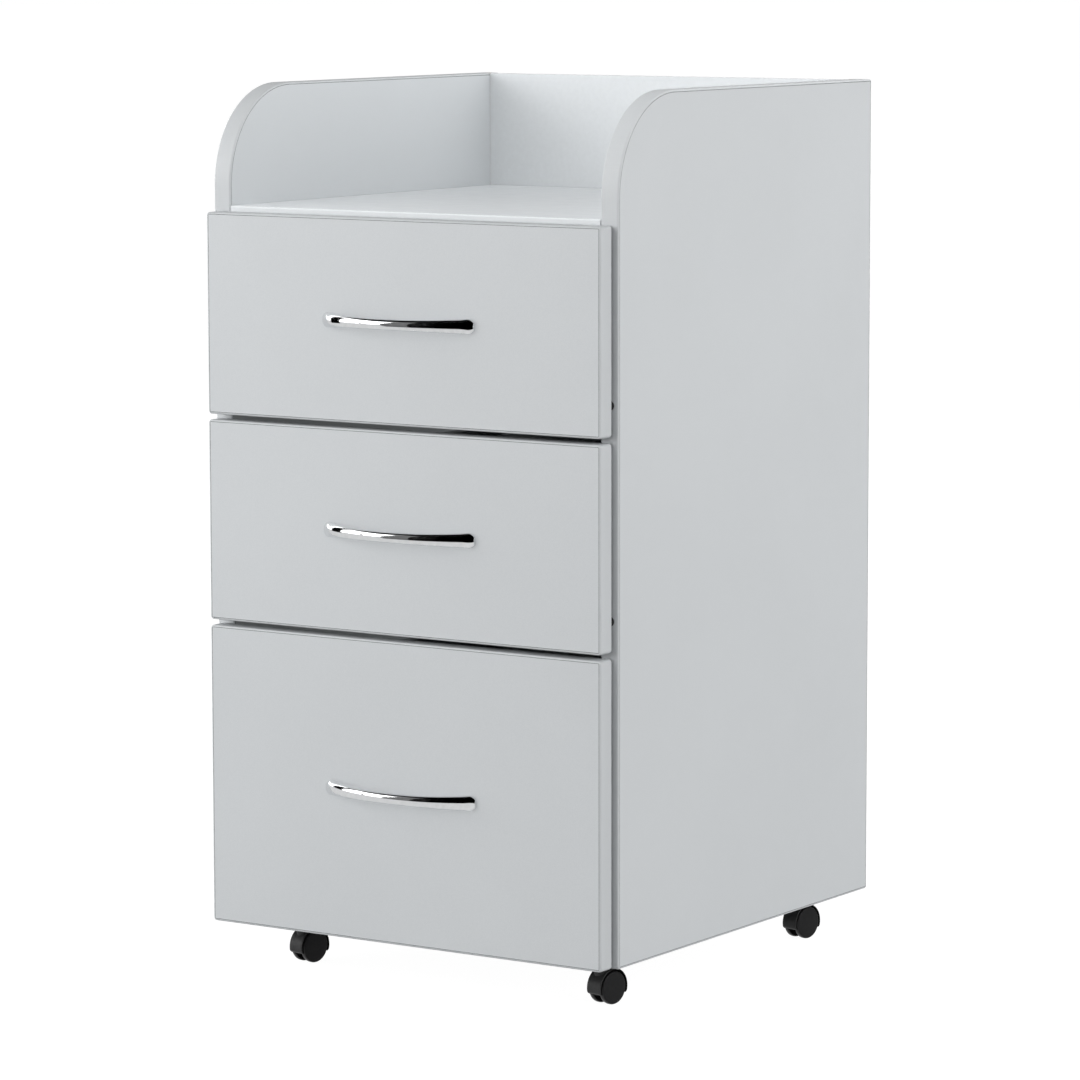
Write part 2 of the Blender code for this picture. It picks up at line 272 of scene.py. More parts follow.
def chipboard():
    """A raw chipboard edge: pressed wood chips in several browns, with open pores."""
    look = Look("chipboard_core", srgb(176, 150, 116), 0.85, specular=0.2)
    tone = look.between(look.cells(620.0), srgb(196, 170, 132), srgb(140, 112, 80), 0.0, 0.9)
    tint = look.between(look.noise(900.0, 3.0), srgb(206, 184, 150), srgb(150, 122, 88))
    look.paint(look.mix(0.5, tone, tint))
    look.bump(look.noise(1100.0, 4.0), 0.5, 0.0002)
    return look.material


def foil(name, colour, roughness=0.5):
    """Thin paper foil over fibreboard, which shows a trace of the fibres under it."""
    look = Look(name, colour, roughness, specular=0.4)
    fibres = look.noise(260.0, 4.0, 0.6, look.stretched((1.0, 0.22, 1.0)))
    look.paint(look.between(fibres, shade(colour, 0.975), shade(colour, 1.015)))
    look.rough(look.spread(look.noise(90.0, 3.0), roughness - 0.05, roughness + 0.06))
    look.bump(fibres, 0.14, 0.00006)
    return look.material


def chrome():
    """Bright plating, with a breath of haze and hairlines that only its gloss shows."""
    look = Look("bright_chrome", (0.80, 0.81, 0.82), 0.05, metallic=1.0)
    haze = look.noise(220.0, 3.0)
    look.rough(look.spread(haze, 0.035, 0.075))
    hair = look.noise(3000.0, 1.0, 0.5, look.stretched((0.03, 1.0, 1.0)))
    look.paint(look.between(haze, (0.78, 0.79, 0.80), (0.84, 0.85, 0.86)))
    look.bump(hair, 0.03, 0.00001)
    return look.material


def coated_steel():
    look = Look("epoxy_coated_steel", srgb(216, 216, 213), 0.36, specular=0.5)
    look.paint(look.between(look.noise(40.0, 3.0), srgb(210, 210, 207), srgb(219, 219, 216)))
    look.rough(look.spread(look.noise(180.0, 2.0), 0.30, 0.42))
    look.bump(look.noise(650.0, 2.0), 0.25, 0.00008)
    return look.material


def zinc():
    look = Look("zinc_plated_steel", (0.62, 0.62, 0.60), 0.3, metallic=1.0)
    look.paint(look.between(look.noise(500.0, 3.0), (0.52, 0.52, 0.51), (0.70, 0.70, 0.67)))
    look.rough(look.spread(look.noise(900.0, 2.0), 0.22, 0.40))
    return look.material


def nylon():
    look = Look("white_nylon", srgb(226, 225, 219), 0.38, specular=0.45)
    look.set("Subsurface Weight", 0.15)
    look.set("Subsurface Radius", (0.001, 0.001, 0.0008))
    look.paint(look.between(look.noise(300.0, 2.0), srgb(220, 219, 212), srgb(230, 229, 224)))
    look.rough(look.spread(look.noise(700.0, 2.0), 0.32, 0.45))
    return look.material


def moulded(name, colour, low, high, specular=0.3):
    """Moulded plastic with a spark-eroded grain."""
    look = Look(name, colour, (low + high) / 2, specular=specular)
    look.paint(look.between(look.noise(350.0, 3.0), shade(colour, 0.85), shade(colour, 1.15)))
    look.rough(look.spread(look.noise(800.0, 2.0), low, high))
    look.bump(look.noise(2600.0, 2.0), 0.3, 0.00005)
    return look.material


BOARD_GREY = srgb(203, 206, 208)
LAMINATE = laminate("grey_melamine", BOARD_GREY)
BAND = edge_band("grey_edge_band", srgb(198, 201, 203))
GLUE_LINE = glue_line()
CHIPBOARD = chipboard()
BACK_FOIL = foil("grey_back_foil", BOARD_GREY)
BASE_FOIL = foil("pale_base_foil", srgb(208, 210, 211))
BOARD_EDGE = foil("fibreboard_edge", srgb(146, 144, 140), 0.8)
BOX_FOIL = foil("pale_drawer_foil", srgb(212, 214, 215), 0.46)
CHROME = chrome()
COATED = coated_steel()
ZINC = zinc()
NYLON = nylon()
HOOD_PLASTIC = moulded("black_hood_plastic", (0.025, 0.025, 0.0255), 0.40, 0.50)
# Black plastic darkened further and left almost without gloss: painted shade on the hood's side faces, inner
# face and web and on the wheels' inner faces, where the gaps round the wheels lie in shadow.
RIM_PLASTIC_PAINTED_SHADE = moulded("black_plastic_painted_shade", (0.0012, 0.0012, 0.0012), 0.25, 0.35, specular=0.02)
WHEEL_PLASTIC = moulded("dark_wheel_plastic", (0.0085, 0.0085, 0.009), 0.42, 0.52, specular=0.13)
TREAD_PLASTIC = moulded("wheel_tread_plastic", (0.010, 0.010, 0.0105), 0.28, 0.36, specular=0.4)
RUBBER = moulded("dark_rubber", (0.030, 0.031, 0.032), 0.55, 0.70)
PIN_STEEL = zinc()


# ------------------------------------------------------------------ mesh helpers
def linked(name, data):
    obj = bpy.data.objects.new(name, data)
    bpy.context.scene.collection.objects.link(obj)
    return obj


def mesh_object(name, bm, materials=()):
    """An object made from bm, which is freed."""
    mesh = bpy.data.meshes.new(name)
    bm.to_mesh(mesh)
    bm.free()
    for material in materials:
        mesh.materials.append(material)
    return linked(name, mesh)


def piece(name, bm, materials, body, stands_for=(), weighted=True):
    """A finished piece: mesh, materials, the body that it rides on and the nodes that it stands for."""
    bmesh.ops.recalc_face_normals(bm, faces=bm.faces)
    obj = mesh_object(name, bm, materials)
    if weighted:
        even = obj.modifiers.new("even_normals", "WEIGHTED_NORMAL")
        even.keep_sharp = True
        even.weight = 80
    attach(obj, body)
    if stands_for:
        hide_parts(*stands_for)
    return obj


def place(pair, axis, at):
    """A point from its two coordinates across an axis, in X, Y, Z order, and its place along it."""
    out = list(pair)
    out.insert("XYZ".index(axis), at)
    return Vector(out)


def stitch(bm, first, second, material=0):
    """Faces between two rings. The material is one index, or a list with one for each face."""
    for i in range(len(first)):
        j = (i + 1) % len(first)
        face = bm.faces.new([first[i], first[j], second[j], second[i]])
        face.material_index = material if isinstance(material, int) else material[i]
        face.smooth = True


def cap(bm, ring, material=0):
    face = bm.faces.new(ring)
    face.material_index = material
    face.smooth = True


def sharpen(bm, degrees=32):
    """Marks the edges where the surface really breaks, so that smooth shading stops there."""
    bm.normal_update()
    for edge in bm.edges:
        if len(edge.link_faces) == 2 and edge.calc_face_angle(0) > math.radians(degrees):
            edge.smooth = False


def shade_smooth(bm, degrees=32):
    for face in bm.faces:
        face.smooth = True
    sharpen(bm, degrees)


def corner_arc(centre, radius, start, end, steps):
    """Points on an arc with the outward normal at each."""
    out = []
    for i in range(steps + 1):
        a = math.radians(start + (end - start) * i / steps)
        n = Vector((math.cos(a), math.sin(a)))
        out.append((Vector(centre) + n * radius, n))
    return out


def rounded_outline(x0, x1, z0, z1, radii, steps=(6, 6, 6, 6)):
    """A rectangle with its own radius at each corner: low-low, high-low, high-high, low-high."""
    corners = ((x0, z0, 1, 1, 180), (x1, z0, -1, 1, 270), (x1, z1, -1, -1, 0), (x0, z1, 1, -1, 90))
    out = []
    for (x, z, sx, sz, start), r, n in zip(corners, radii, steps):
        out += corner_arc((x + sx * r, z + sz * r), r, start, start + 90, n)
    return out


def quarter_turn(steps):
    """Angles from 0 to 90 degrees."""
    return [math.pi / 2 * i / steps for i in range(steps + 1)]


def band_profile(thick):
    """From one face of a banded board to the other: inset, depth, and the material of the strip before it."""
    half = [(JOINT + GLUE, 0.0, 2), (JOINT, GLUE_DEEP, 2)]
    for a in quarter_turn(ROUND_STEPS):
        half.append((ROUND - ROUND * math.sin(a), ROUND - ROUND * math.cos(a), 1 if a else 2))
    back = [(d, thick - e, 1) for d, e, _ in reversed(half[2:])]
    back += [(JOINT, thick - GLUE_DEEP, 2), (JOINT + GLUE, thick, 2)]
    return half + back


def banded_bm(outline, axis, low, high):
    """A board with an edge band all round: flat faces, a fine glue line, and rounded edges."""
    bm = bmesh.new()
    rings, strips = [], []
    for inset, deep, material in band_profile(high - low):
        rings.append([bm.verts.new(place(p - n * inset, axis, low + deep)) for p, n in outline])
        strips.append(material)
    cap(bm, rings[0][::-1])
    cap(bm, rings[-1])
    for (first, second), material in zip(zip(rings, rings[1:]), strips[1:]):
        stitch(bm, first, second, material)
    for ring in (rings[0], rings[1], rings[2], rings[-1], rings[-2], rings[-3]):
        for i in range(len(ring)):
            bm.edges.get((ring[i], ring[(i + 1) % len(ring)])).smooth = False
    return bm


def fillet(points, radii, steps=4):
    """A closed outline with its corners rounded."""
    out = []
    for i, (p, r) in enumerate(zip(points, radii)):
        p = Vector(p)
        a, b = Vector(points[i - 1]) - p, Vector(points[(i + 1) % len(points)]) - p
        if r <= 0:
            out.append(p)
            continue
        half = a.angle(b) / 2
        cut = min(r / math.tan(half), 0.49 * a.length, 0.49 * b.length)
        r = cut * math.tan(half)
        centre = p + (a.normalized() + b.normalized()).normalized() * (r / math.sin(half))
        first, last = p + a.normalized() * cut - centre, p + b.normalized() * cut - centre
        turn = first.angle_signed(last)
        for k in range(steps + 1):
            angle = -turn * k / steps
            c, s = math.cos(angle), math.sin(angle)
            out.append(centre + Vector((c * first.x - s * first.y, s * first.x + c * first.y)))
    return out


def soft_rectangle(u0, u1, v0, v1, radii, steps=2):
    return fillet([(u0, v0), (u1, v0), (u1, v1), (u0, v1)], radii, steps)


def extruded_bm(section, axis, low, high, chamfer=0.0, end_material=0, materials=0):
    """A section pushed along an axis, with its ends broken by a small chamfer where one is given."""
    bm = bmesh.new()
    middle = sum((Vector(p) for p in section), Vector((0, 0))) / len(section)
    span = max((Vector(p) - middle).length for p in section)
    ends = [(low, chamfer), (low + chamfer, 0.0), (high - chamfer, 0.0), (high, chamfer)]
    if not chamfer:
        ends = [(low, 0.0), (high, 0.0)]
    rings = []
    for at, inset in ends:
        k = 1 - inset / span
        rings.append([bm.verts.new(place(middle + (Vector(p) - middle) * k, axis, at)) for p in section])
    cap(bm, rings[0][::-1], end_material)
    cap(bm, rings[-1], end_material)
    for first, second in zip(rings, rings[1:]):
        stitch(bm, first, second, materials)
    sharpen(bm)
    return bm


def revolved(bm, profile, matrix, steps=40, materials=None):
    """A profile of (radius, height) turned round Z, moved by a matrix. A radius of 0 closes it."""
    rings = []
    for r, z in profile:
        if r < 1e-7:
            rings.append([bm.verts.new(matrix @ Vector((0, 0, z)))])
        else:
            rings.append([
                bm.verts.new(matrix @ Vector((r * math.cos(a), r * math.sin(a), z)))
                for a in (2 * math.pi * i / steps for i in range(steps))
            ])
    for k, (first, second) in enumerate(zip(rings, rings[1:])):
        for i in range(steps):
            j = (i + 1) % steps
            if len(first) == 1:
                corners = [first[0], second[i], second[j]]
            elif len(second) == 1:
                corners = [first[i], second[0], first[j]]
            else:
                corners = [first[i], second[i], second[j], first[j]]
            face = bm.faces.new(corners)
            face.smooth = True
            face.material_index = materials[k] if materials else 0


def facing(axis, at):
    """A matrix that takes Z to an axis such as (1, 0, 0), with its origin at a point."""
    return Matrix.Translation(at) @ Vector((0, 0, 1)).rotation_difference(Vector(axis)).to_matrix().to_4x4()


def solid_object(bm, name):
    bmesh.ops.recalc_face_normals(bm, faces=bm.faces)
    return mesh_object(name, bm)


def carved(bm, *tools):
    """bm after joining or cutting it with other closed meshes, each (operation, bm)."""
    target = solid_object(bm, "target")
    others = []
    for operation, other in tools:
        obj = solid_object(other, "tool")
        step = target.modifiers.new(operation, "BOOLEAN")
        step.operation, step.solver, step.object = operation, "EXACT", obj
        others.append(obj)
    graph = bpy.context.evaluated_depsgraph_get()
    mesh = bpy.data.meshes.new_from_object(target.evaluated_get(graph), depsgraph=graph)
    out = bmesh.new()
    out.from_mesh(mesh)
    for obj in [target, *others]:
        old = obj.data
        bpy.data.objects.remove(obj)
        bpy.data.meshes.remove(old)
    bpy.data.meshes.remove(mesh)
    bmesh.ops.remove_doubles(out, verts=out.verts, dist=TINY)
    bmesh.ops.dissolve_degenerate(out, edges=out.edges, dist=TINY)
    return out


def add_part(bm, part, matrix):
    """Puts a finished part into bm, moved by a matrix. The part is freed."""
    bmesh.ops.transform(part, matrix=matrix, verts=part.verts)
    mesh = bpy.data.meshes.new("part")
    part.to_mesh(mesh)
    part.free()
    bm.from_mesh(mesh)
    bpy.data.meshes.remove(mesh)


def cross_bm(arm, half, low, high, turn):
    """A plus-shaped prism along Z, which cuts a cross recess."""
    quarter = [(half, half), (half, arm), (-half, arm)]
    points = [Matrix.Rotation(turn + k * math.pi / 2, 2) @ Vector(p) for k in range(4) for p in quarter]
    bm = bmesh.new()
    ends = [[bm.verts.new((*p, z)) for p in points] for z in (low, high)]
    cap(bm, ends[0][::-1])
    cap(bm, ends[1])
    stitch(bm, *ends)
    return bm


def box_bm(low, high, material=0):
    bm = bmesh.new()
    bmesh.ops.create_cube(bm, size=1)
    bmesh.ops.scale(bm, vec=[h - l for l, h in zip(low, high)], verts=bm.verts)
    bmesh.ops.translate(bm, vec=[(h + l) / 2 for l, h in zip(low, high)], verts=bm.verts)
    for face in bm.faces:
        face.material_index = material
    return bm


# ------------------------------------------------------------------ body boards
def side_panel(name, sign):
    """A side panel with its rounded front top corner and the groove that takes the back."""
    low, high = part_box(name)
    outline = rounded_outline(
        low.y, high.y, low.z, high.z, [PANEL_CORNER] * 3 + [TRAY_CORNER], (5, 5, 5, TRAY_CORNER_STEPS)
    )
    bm = banded_bm(outline, "X", low.x, high.x)
    back_low, back_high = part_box("back_panel")
    inner = low.x if sign > 0 else high.x
    past = 10 * MM
    groove = box_bm(
        (inner - BACK_GROOVE, back_low.y - FIT, low.z - past),
        (inner + BACK_GROOVE, back_high.y + FIT, high.z + past),
        material=3,
    )
    bm = carved(bm, ("DIFFERENCE", groove))
    shade_smooth(bm)
    piece(name + "_board", bm, [LAMINATE, BAND, GLUE_LINE, CHIPBOARD], "cabinet", [name])


def front_banded_section(y0, y1, z0, z1):
    """A board with a band on its front edge alone: points in Y and Z, and each strip's material."""
    points, strips = [], []

    def add(y, z, material):
        points.append((y, z))
        strips.append(material)

    small = 0.25 * MM
    add(y1 - small, z0, 0)
    add(y0 + JOINT + GLUE, z0, 2)
    add(y0 + JOINT, z0 + GLUE_DEEP, 2)
    for a in quarter_turn(ROUND_STEPS):
        add(y0 + ROUND - ROUND * math.sin(a), z0 + ROUND - ROUND * math.cos(a), 1)
    for a in quarter_turn(ROUND_STEPS):
        add(y0 + ROUND - ROUND * math.cos(a), z1 - ROUND + ROUND * math.sin(a), 1)
    strips[-1] = 2
    add(y0 + JOINT, z1 - GLUE_DEEP, 2)
    add(y0 + JOINT + GLUE, z1, 0)
    add(y1 - small, z1, 0)
    add(y1, z1 - small, 3)
    add(y1, z0 + small, 0)
    return points, strips


def body_boards():
    for side, sign in SIDES:
        side_panel("side_" + side, sign)
    for name in ("top_shelf", "bottom_panel"):
        low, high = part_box(name)
        section, strips = front_banded_section(low.y, high.y, low.z, high.z)
        bm = extruded_bm(section, "X", low.x, high.x, materials=strips)
        piece(name + "_board", bm, [LAMINATE, BAND, GLUE_LINE, CHIPBOARD], "cabinet", [name])
    low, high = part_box("back_panel")
    section = soft_rectangle(low.x, high.x, low.y, high.y, [THIN_EDGE] * 4)
    bm = extruded_bm(section, "Z", low.z, high.z, chamfer=THIN_EDGE, end_material=1)
    piece("back_panel_sheet", bm, [BACK_FOIL, BOARD_EDGE], "cabinet", ["back_panel"])
    spots = []
    for name in ("top_shelf", "bottom_panel"):
        board_low, board_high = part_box(name)
        for share in BACK_SCREW_SHARES:
            spots.append(Vector((share * (high.x - low.x), high.y, (board_low.z + board_high.z) / 2)))
    screws("back_panel_screws", "cabinet", spots, (0, 1, 0), BACK_SCREW)


# ------------------------------------------------------------------ small hardware
def cross_head(bm, at, axis, radius, height, turn):
    """The head of a pan-head screw: a domed disc with a cross recess sunk in it."""
    dome = [(radius, 0.0), (radius, 0.25 * height)]
    for i in range(1, 6):
        a = math.pi / 2 * i / 6
        dome.append((radius * math.cos(a) ** 0.6, height * (0.25 + 0.75 * math.sin(a))))
    dome.append((0.0, height))
    part = bmesh.new()
    revolved(part, [(0.0, -0.2 * height), (radius, -0.2 * height)] + dome, Matrix.Identity(4), 24)
    recess = cross_bm(0.52 * radius, 0.10 * radius, 0.45 * height, 1.5 * height, 0.03)
    add_part(bm, carved(part, ("DIFFERENCE", recess)), facing(axis, at) @ Matrix.Rotation(turn, 4, "Z"))


def screws(name, body, places, axis, head):
    """Screw heads at several places, each turned its own way. The head is (radius, height)."""
    bm = bmesh.new()
    for k, at in enumerate(places):
        cross_head(bm, at, axis, *head, turn=0.4 + 0.9 * k)
    shade_smooth(bm, 40)
    piece(name, bm, [ZINC], body, weighted=False)


# ------------------------------------------------------------------ drawers
def handle_section(along):
    """How far the bow stands out, outside and inside, and its height. along is -1 to 1 at the two ends."""
    far = abs(along)
    outer = HANDLE_FOOT + (PULL - HANDLE_FOOT) * (1 - far**2.4)
    inner = max(FIT, outer - (HANDLE_MID_DEEP + HANDLE_END_MORE * far**3))
    height = HANDLE_MID_H + (HANDLE_END_H - HANDLE_MID_H) * far**2.2
    if far > HANDLE_TIP:
        height -= HANDLE_TIP_IN * ((far - HANDLE_TIP) / (1 - HANDLE_TIP)) ** 2
    return outer, inner, height


def handle(number):
    """The bow handle: lowest and furthest out in its middle, flared to its two feet."""
    node = f"drawer_{number}_handle"
    low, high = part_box(node)
    face_y, centre_z = high.y + FIT, (low.z + high.z) / 2
    bm = bmesh.new()
    rings = []
    for i in range(HANDLE_SECTIONS + 1):
        along = math.sin(math.pi * (i / HANDLE_SECTIONS - 0.5))
        outer, inner, height = handle_section(along)
        middle = inner + 0.45 * (outer - inner)
        flat = 0.5 - 0.42 * min(1, (along / 0.85) ** 4)
        ring = []
        for j in range(HANDLE_RING):
            angle = 2 * math.pi * j / HANDLE_RING
            c, s = math.cos(angle), math.sin(angle)
            z = math.copysign(abs(c) ** 0.88, c) * height / 2
            if s >= 0:
                y = middle + (outer - middle) * s**0.95
            else:
                y = middle - (middle - inner) * (-s) ** flat
            ring.append(bm.verts.new((along * HANDLE_L / 2, face_y - y, centre_z + z)))
        rings.append(ring)
    for first, second in zip(rings, rings[1:]):
        stitch(bm, first, second)
    cap(bm, rings[0][::-1])
    cap(bm, rings[-1])
    sharpen(bm, 60)
    body = f"drawer_{number}"
    bow = piece(f"drawer_{number}_bow_handle", bm, [CHROME], body, [node], weighted=False)
    bow.visible_shadow = False


def cams(number):
    """Eccentric connectors let into the drawer sides, which hold them to the front."""
    body = f"drawer_{number}"
    bm = bmesh.new()
    for side, sign in SIDES:
        low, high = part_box(f"drawer_{number}_side_{side}")
        inner = high.x if sign < 0 else low.x
        for share in CAM_SHARES:
            at = Vector((inner, low.y + CAM_BACK, low.z + share * (high.z - low.z)))
            part = bmesh.new()
            revolved(part, [
                (0.0, -1.0 * MM), (7.4 * MM, -1.0 * MM), (7.4 * MM, 0.15 * MM), (7.1 * MM, 0.3 * MM),
                (6.2 * MM, 0.3 * MM), (6.0 * MM, 0.1 * MM), (0.0, 0.1 * MM),
            ], Matrix.Identity(4), 36)
            recess = cross_bm(3.2 * MM, 0.6 * MM, -0.6 * MM, 1 * MM, 0.5)
            add_part(bm, carved(part, ("DIFFERENCE", recess)), facing((-sign, 0, 0), at))
    shade_smooth(bm, 35)
    piece(f"drawer_{number}_cam_fittings", bm, [ZINC], body, weighted=False)


def drawer(number):
    """A drawer with its front, handle, box, cam fittings and both halves of its two slides."""
    body = f"drawer_{number}"
    prefix = body + "_"
    low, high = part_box(prefix + "front")
    outline = rounded_outline(low.x, high.x, low.z, high.z, [FRONT_CORNER] * 4)
    bm = banded_bm(outline, "Y", low.y, high.y)
    piece(prefix + "front_board", bm, [LAMINATE, BAND, GLUE_LINE], body, [prefix + "front"])
    centre_z = (low.z + high.z) / 2
    handle(number)
    spots = [Vector((sign * HANDLE_SPACING / 2, high.y + 0.1 * MM, centre_z)) for sign in (-1, 1)]
    screws(prefix + "handle_screws", body, spots, (0, 1, 0), HANDLE_SCREW)
    base_low, base_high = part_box(prefix + "base")
    for side, sign in SIDES:
        low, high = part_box(prefix + "side_" + side)
        outer, inner = (low.x, high.x) if sign < 0 else (high.x, low.x)
        deep = inner + sign * BASE_GROOVE
        points = [
            (outer, low.z), (outer, high.z), (inner, high.z), (inner, base_high.z + FIT),
            (deep, base_high.z + FIT), (deep, base_low.z - FIT), (inner, base_low.z - FIT), (inner, low.z),
        ]
        section = fillet(points, [BOX_EDGE, BOX_TOP, BOX_TOP, 0.2 * MM, 0, 0, 0.2 * MM, BOX_EDGE], 5)
        bm = extruded_bm(section, "Y", low.y, high.y, end_material=1)
        node = prefix + "side_" + side
        piece(node + "_board", bm, [BOX_FOIL, CHIPBOARD], body, [node])
    low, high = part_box(prefix + "back")
    section = soft_rectangle(low.y, high.y, low.z, high.z, [THIN_EDGE, THIN_EDGE, BOX_TOP, BOX_TOP], 5)
    bm = extruded_bm(section, "X", low.x, high.x, end_material=1)
    piece(prefix + "back_board", bm, [BOX_FOIL, CHIPBOARD], body, [prefix + "back"])
    section = soft_rectangle(base_low.x, base_high.x, base_low.z, base_high.z, [THIN_EDGE] * 4)
    bm = extruded_bm(section, "Y", base_low.y, base_high.y, chamfer=THIN_EDGE)
    piece(prefix + "base_sheet", bm, [BASE_FOIL], body, [prefix + "base"])
    cams(number)
    for side, sign in SIDES:
        drawer_rail(number, side, sign)
        cabinet_rail(number, side, sign)


def roller(name, body, centre, r, inner_x, outer_x):
    """A nylon roller of radius r on a riveted pin. Its axis is X, its centre (y, z)."""
    bm = bmesh.new()
    width = abs(outer_x - inner_x)
    hub, lip = 0.45 * r, 0.82 * r
    profile = [
        (0.0, 0.0), (hub, 0.0), (hub, 0.3 * MM), (lip, 0.3 * MM), (lip, 0.0), (r - 0.5 * MM, 0.0),
        (r - 0.15 * MM, 0.2 * MM), (r, 0.7 * MM), (r, width - 0.7 * MM), (r - 0.15 * MM, width - 0.2 * MM),
        (r - 0.5 * MM, width), (lip, width), (lip, width - 0.9 * MM), (hub, width - 0.9 * MM),
        (hub, width - 0.2 * MM), (0.0, width - 0.2 * MM),
    ]
    direction = (1, 0, 0) if outer_x > inner_x else (-1, 0, 0)
    revolved(bm, profile, facing(direction, Vector((inner_x, centre[0], centre[1]))), 40)
    sharpen(bm, 40)
    piece(name, bm, [NYLON], body, weighted=False)
    bm = bmesh.new()
    rivet = [
        (0.0, -0.15 * MM), (RIVET_R, -0.15 * MM), (RIVET_R, 0.0), (RIVET_R, 0.25 * MM), (2.2 * MM, 0.6 * MM),
        (1.2 * MM, 0.75 * MM), (0.0, 0.8 * MM),
    ]
    at = Vector((outer_x - (0.2 * MM if outer_x > inner_x else -0.2 * MM), centre[0], centre[1]))
    revolved(bm, rivet, facing(direction, at), 24)
    piece(name + "_rivet", bm, [ZINC], body, weighted=False)


def mirrored(points, sign):
    return [(sign * x, z) for x, z in points]


def rail_screws(node, body, x, z, spots, sign, head):
    """The screws of a rail, at distances from its front end, or from its rear end where negative."""
    low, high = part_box(node)
    places = [Vector((x, (low.y if spot > 0 else high.y) + spot, z)) for spot in spots]
    screws(node + "_screws", body, places, (sign, 0, 0), head)


def drawer_rail(number, side, sign):
    """The drawer's half of a roller slide, a bent strip under and beside the drawer side."""
    node = f"drawer_rail_{number}_{side}"
    low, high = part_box(node)
    body = f"drawer_{number}"
    outer = max(abs(low.x), abs(high.x))
    inner = min(abs(low.x), abs(high.x))
    web = outer - FLANGE
    z0, z1 = low.z, high.z
    points = [
        (inner, z0), (web + STEEL, z0), (web + STEEL, z1 - STEEL), (outer, z1 - STEEL),
        (outer, z1), (web, z1), (web, z0 + STEEL), (inner, z0 + STEEL),
    ]
    radii = [r * MM for r in (0.3, 1.7, 0.5, 0.3, 0.3, 1.7, 0.5, 0.3)]
    section = fillet(mirrored(points, sign), radii)
    bm = extruded_bm(section, "Y", low.y, high.y)
    piece(node + "_strip", bm, [COATED], body, [node])
    centre = (high.y - ROLLER_BACK, z0 + RAIL_H - 19 * MM + FIT + ROLLER_R)
    roller(node + "_roller", body, centre, ROLLER_R, sign * (web + STEEL + 0.1 * MM), sign * outer)
    rail_screws(node, body, sign * (web + STEEL), z0 + 10 * MM, DRAWER_RAIL_SPOTS, sign, DRAWER_RAIL_SCREW)


def cabinet_rail(number, side, sign):
    """The body's half, a channel screwed to the side panel with a roller at its front end."""
    node = f"cabinet_rail_{number}_{side}"
    low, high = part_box(node)
    web = max(abs(low.x), abs(high.x))
    rail_low = low.z - (RAIL_H - 20.2 * MM)
    top = rail_low + RAIL_H - 2 * MM
    points = [
        (web, low.z), (web, top), (web - FLANGE, top), (web - FLANGE, top - STEEL),
        (web - STEEL, top - STEEL), (web - STEEL, low.z + STEEL), (web - FLANGE, low.z + STEEL),
        (web - FLANGE, low.z),
    ]
    radii = [r * MM for r in (1.7, 1.7, 0.3, 0.3, 0.5, 0.5, 0.3, 0.3)]
    section = fillet(mirrored(points, sign), radii)
    bm = extruded_bm(section, "Y", low.y, high.y)
    xs = sorted((sign * (web - STEEL - 0.05 * MM), sign * (web - 20 * MM)))
    past = 10 * MM
    gap = box_bm((xs[0], low.y - past, top - 3 * MM), (xs[1], low.y + 24 * MM, top + past))
    bm = carved(bm, ("DIFFERENCE", gap))
    shade_smooth(bm)
    piece(node + "_channel", bm, [COATED], "cabinet", [node])
    centre = (low.y + ROLLER_BACK, rail_low + RAIL_H - STEEL - FIT - FRONT_ROLLER_R)
    roller(
        node + "_roller", "cabinet", centre, FRONT_ROLLER_R - 0.1 * MM,
        sign * (web - STEEL - 0.1 * MM), sign * (web - FLANGE),
    )
    mid = (low.z + top) / 2
    rail_screws(node, "cabinet", sign * (web - STEEL), mid, CABINET_RAIL_SPOTS, -sign, CABINET_RAIL_SCREW)


def bumpers():
    """Small rubber dots on the front edges of the side panels, which the closed fronts rest on."""
    heights = [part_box(f"drawer_{number}_front")[0].z + BUMPER_UP for number in (1, 2)]
    edge_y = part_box("side_left")[0].y
    bm = bmesh.new()
    for sign in (-1, 1):
        for z in heights:
            matrix = facing((0, -1, 0), Vector((sign * BUMPER_X, edge_y, z)))
            revolved(bm, [
                (0.0, -0.1 * MM), (3.8 * MM, -0.1 * MM), (3.8 * MM, 0.3 * MM), (3.4 * MM, 0.65 * MM),
                (2.5 * MM, 0.8 * MM), (0.0, 0.85 * MM),
            ], matrix, 28)
    sharpen(bm, 50)
    piece("front_bumpers", bm, [RUBBER], "cabinet", weighted=False)


# ------------------------------------------------------------------ casters
def caster_plate(node, x, y):
    """A mounting plate with the race under it, the pin of the swivel and its four screws."""
    low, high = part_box(node)
    top = high.z
    plate_low = top - PLATE_THICK
    half = (high.x - low.x) / 2
    outline = rounded_outline(x - half, x + half, y - half, y + half, [PLATE_CORNER] * 4, (8, 8, 8, 8))
    bm = bmesh.new()
    rings = []
    for inset, z in (
        (PLATE_EDGE, plate_low), (0.15 * MM, plate_low + 0.15 * MM), (0.0, plate_low + PLATE_EDGE),
        (0.0, top - 0.2 * MM), (0.2 * MM, top),
    ):
        rings.append([bm.verts.new((*(p - n * inset), z)) for p, n in outline])
    cap(bm, rings[0][::-1])
    cap(bm, rings[-1])
    for first, second in zip(rings, rings[1:]):
        stitch(bm, first, second)
    race_low = plate_low - RACE_HIGH
    race = bmesh.new()
    revolved(race, [
        (0.0, low.z), (2.6 * MM, low.z), (3 * MM, low.z + 0.4 * MM), (3 * MM, race_low),
        (RACE_R - 0.5 * MM, race_low), (RACE_R, race_low + 0.5 * MM), (RACE_R, plate_low - 0.6 * MM),
        (9.6 * MM, plate_low + 0.05 * MM), (9.6 * MM, plate_low + 0.8 * MM), (0.0, plate_low + 0.8 * MM),
    ], Matrix.Translation((x, y, 0)), 48)
    bm = carved(bm, ("UNION", race))
    shade_smooth(bm)
    piece(node + "_body", bm, [HOOD_PLASTIC], "cabinet", [node])
    away = PLATE_SCREW_AT
    spots = [Vector((x + sx * away, y + sy * away, plate_low)) for sx in (-1, 1) for sy in (-1, 1)]
    screws(node + "_screws", "cabinet", spots, (0, 0, -1), PLATE_SCREW)


